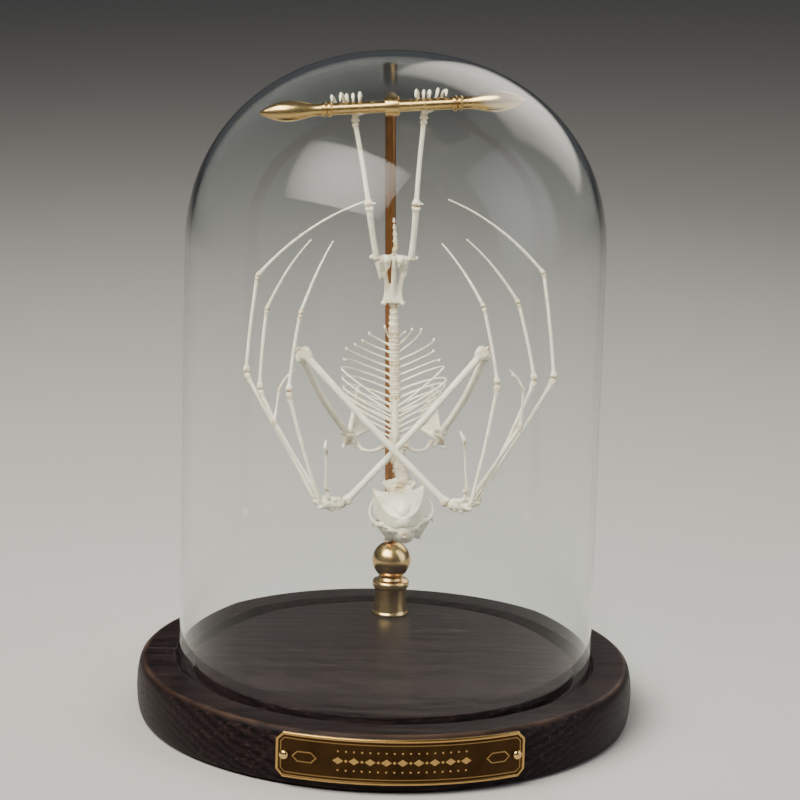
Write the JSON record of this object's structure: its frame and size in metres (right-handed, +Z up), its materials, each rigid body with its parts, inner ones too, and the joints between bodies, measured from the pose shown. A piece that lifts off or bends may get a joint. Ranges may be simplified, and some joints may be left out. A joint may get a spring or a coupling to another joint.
{
  "type": "mounted bat skeleton under a glass dome",
  "caption": "Complete fruit bat skeleton hanging head down by its toes from a turned brass perch on a pole, under a glass dome on a dark wood base with a curved plaque",
  "frame": {"origin": "middle of the base's flat underside, on the surface it stands on", "axes": "+Z up, -Y the way the bat faces, +X to the viewer's right; the bat's own left shoulder is at -X and, as its forearms cross, its left hand is at +X"},
  "size_m": [0.1806, 0.1825, 0.243],
  "materials": {
    "stained_wood": "near-black purplish-brown stain under a thin satin varnish, fine grain showing, worn rim",
    "clear_glass": "clear blown glass",
    "antique_brass": "antiqued, darkened in the field and bright at the border",
    "satin_brass": "turned and satin brushed, with fine turning lines",
    "bleached_bone": "bleached matt bone, ivory, a little yellower at the joints"
  },
  "bodies": {
    "root": {"base": "stained_wood", "dome": "clear_glass", "plaque": "antique_brass", "nail_left": "satin_brass", "nail_right": "satin_brass", "pole_foot": "satin_brass", "pole": "satin_brass", "pole_arm": "satin_brass", "bar": "satin_brass", "skull": "bleached_bone", "mandible": "bleached_bone", "neck": "bleached_bone", "rib_cage_left": "bleached_bone", "rib_cage_right": "bleached_bone", "sternum": "bleached_bone", "lumbar": "bleached_bone", "pelvis": "bleached_bone", "tail": "bleached_bone", "scapula_left": "bleached_bone", "clavicle_left": "bleached_bone", "humerus_left": "bleached_bone", "radius_left": "bleached_bone", "carpus_left": "bleached_bone", "thumb_left": "bleached_bone", "digit2_left": "bleached_bone", "metacarpal3_left": "bleached_bone", "phalanx3_1_left": "bleached_bone", "phalanx3_2_left": "bleached_bone", "metacarpal4_left": "bleached_bone", "phalanx4_1_left": "bleached_bone", "phalanx4_2_left": "bleached_bone", "metacarpal5_left": "bleached_bone", "phalanx5_1_left": "bleached_bone", "phalanx5_2_left": "bleached_bone", "femur_left": "bleached_bone", "tibia_left": "bleached_bone", "foot_left": "bleached_bone", "scapula_right": "bleached_bone", "clavicle_right": "bleached_bone", "humerus_right": "bleached_bone", "radius_right": "bleached_bone", "carpus_right": "bleached_bone", "thumb_right": "bleached_bone", "digit2_right": "bleached_bone", "metacarpal3_right": "bleached_bone", "phalanx3_1_right": "bleached_bone", "phalanx3_2_right": "bleached_bone", "metacarpal4_right": "bleached_bone", "phalanx4_1_right": "bleached_bone", "phalanx4_2_right": "bleached_bone", "metacarpal5_right": "bleached_bone", "phalanx5_1_right": "bleached_bone", "phalanx5_2_right": "bleached_bone", "femur_right": "bleached_bone", "tibia_right": "bleached_bone", "foot_right": "bleached_bone"}
  },
  "joints": []
}
